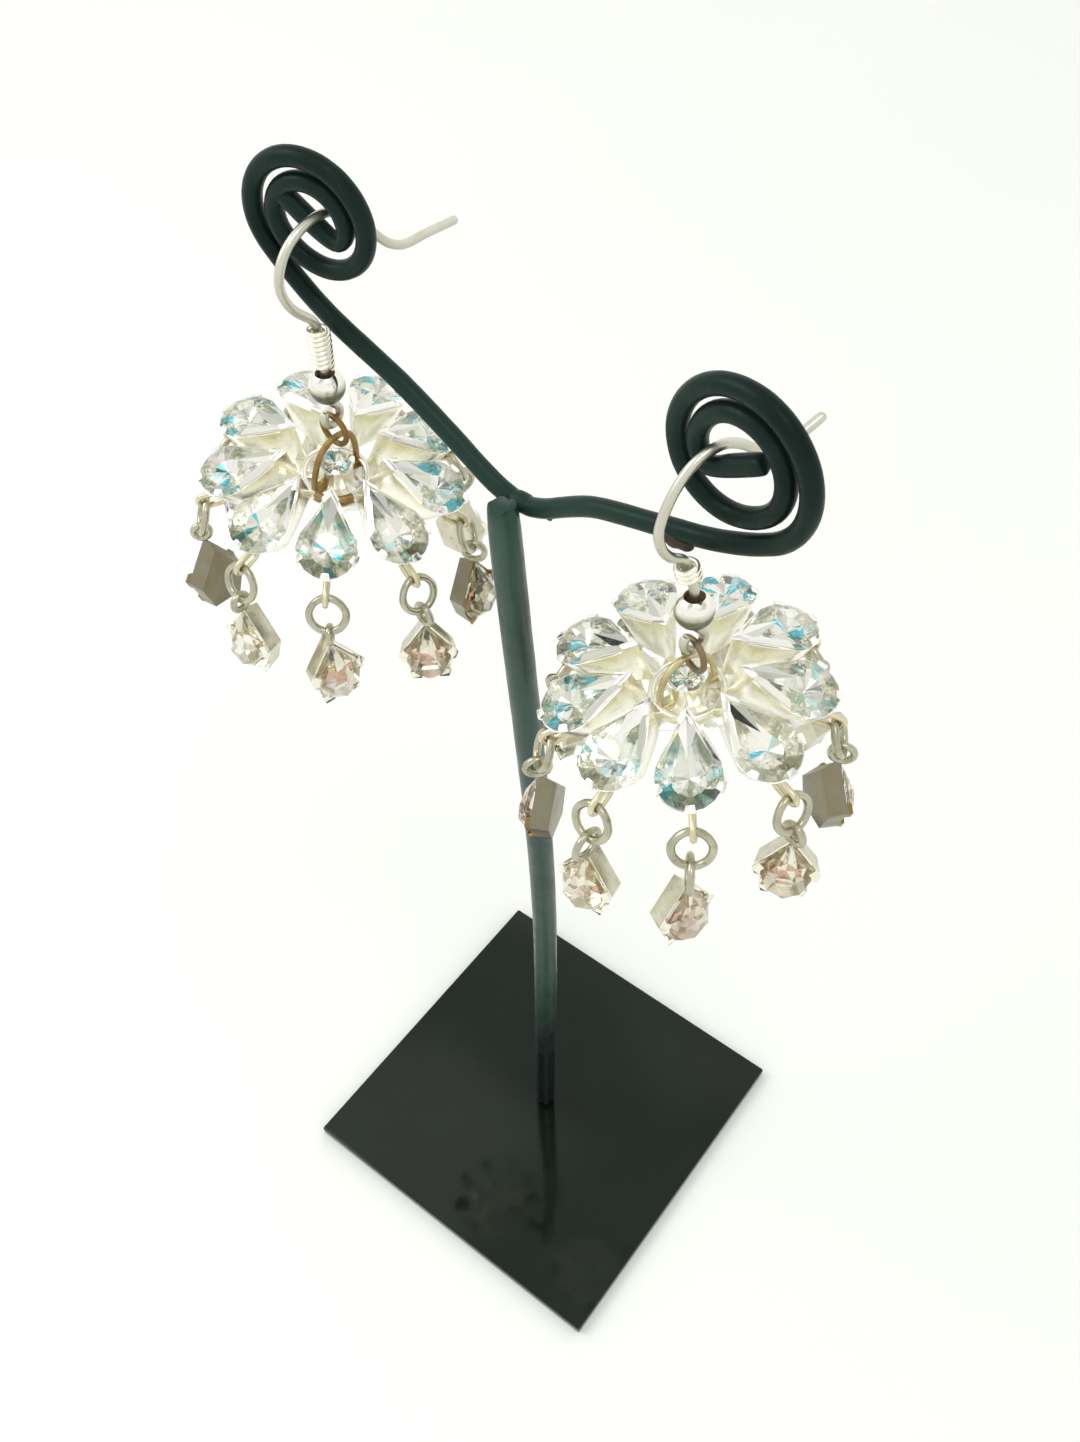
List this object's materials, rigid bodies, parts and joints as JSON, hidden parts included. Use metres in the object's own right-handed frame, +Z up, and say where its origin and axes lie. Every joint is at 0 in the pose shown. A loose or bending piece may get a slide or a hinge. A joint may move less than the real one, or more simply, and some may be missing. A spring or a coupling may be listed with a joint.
{
  "type": "jhumka earrings on display stand",
  "caption": "Pair of drop earrings with domed flowers of pear-cut crystals, hanging crystal drops and fish-hook ear wires, hooked on a black wire stand with a square base.",
  "frame": {"origin": "middle of the base plate's underside", "axes": "+Z up along the post, +X along the stand's cross wire to the right-hand earring, +Y to the back, away from the earrings' hooks"},
  "size_m": [0.0662, 0.0456, 0.1353],
  "materials": {
    "black_paint": "satin black paint over steel wire, slightly lumpy and worn at the bends",
    "gloss_black": "glossy black paint on a flat steel plate",
    "ear_wire_silver": "bright silver plating, a little warm",
    "dome_silver": "pale cream silver plating with brown tarnish in the corners",
    "drop_silver": "silver plating with specks, greyer than the domes",
    "crystal": "clear foil-backed cut glass with blue, teal and pink flashes"
  },
  "bodies": {
    "stand": {"base_plate": "gloss_black", "post": "black_paint", "left_arm": "black_paint", "right_arm": "black_paint", "left_ear_wire": "ear_wire_silver", "left_coil": "ear_wire_silver", "left_bead": "ear_wire_silver", "right_ear_wire": "ear_wire_silver", "right_coil": "ear_wire_silver", "right_bead": "ear_wire_silver"},
    "left_link": {"left_jump_ring": "ear_wire_silver"},
    "left_dome": {"left_dome_frame": "dome_silver", "left_hub_stone": "crystal", "left_stone_0": "crystal", "left_stone_1": "crystal", "left_stone_2": "crystal", "left_stone_3": "crystal", "left_stone_4": "crystal", "left_stone_5": "crystal", "left_stone_6": "crystal", "left_stone_7": "crystal", "left_stone_8": "crystal", "left_drop_0": "drop_silver", "left_drop_1": "drop_silver", "left_drop_2": "drop_silver", "left_drop_3": "drop_silver", "left_drop_4": "drop_silver", "left_drop_5": "drop_silver", "left_drop_6": "drop_silver", "left_drop_7": "drop_silver", "left_drop_8": "drop_silver"},
    "right_link": {"right_jump_ring": "ear_wire_silver"},
    "right_dome": {"right_dome_frame": "dome_silver", "right_hub_stone": "crystal", "right_stone_0": "crystal", "right_stone_1": "crystal", "right_stone_2": "crystal", "right_stone_3": "crystal", "right_stone_4": "crystal", "right_stone_5": "crystal", "right_stone_6": "crystal", "right_stone_7": "crystal", "right_stone_8": "crystal", "right_drop_0": "drop_silver", "right_drop_1": "drop_silver", "right_drop_2": "drop_silver", "right_drop_3": "drop_silver", "right_drop_4": "drop_silver", "right_drop_5": "drop_silver", "right_drop_6": "drop_silver", "right_drop_7": "drop_silver", "right_drop_8": "drop_silver"}
  },
  "joints": [
    {"name": "left_link_swing", "type": "hinge", "parent": "stand", "child": "left_link", "pos_m": [-0.01747, -0.00365, 0.11295], "axis": [0, 1, 0], "range_deg": [-5, 20]},
    {"name": "left_dome_swing", "type": "hinge", "parent": "left_link", "child": "left_dome", "pos_m": [-0.01747, -0.00365, 0.11107], "axis": [1, 0, 0], "range_deg": [-20, 20]},
    {"name": "right_link_swing", "type": "hinge", "parent": "stand", "child": "right_link", "pos_m": [0.01847, -0.00324, 0.10992], "axis": [0.342, 0.9397, 0], "range_deg": [-20, 5]},
    {"name": "right_dome_swing", "type": "hinge", "parent": "right_link", "child": "right_dome", "pos_m": [0.01847, -0.00324, 0.10805], "axis": [0.9397, -0.342, 0], "range_deg": [-20, 20]}
  ]
}
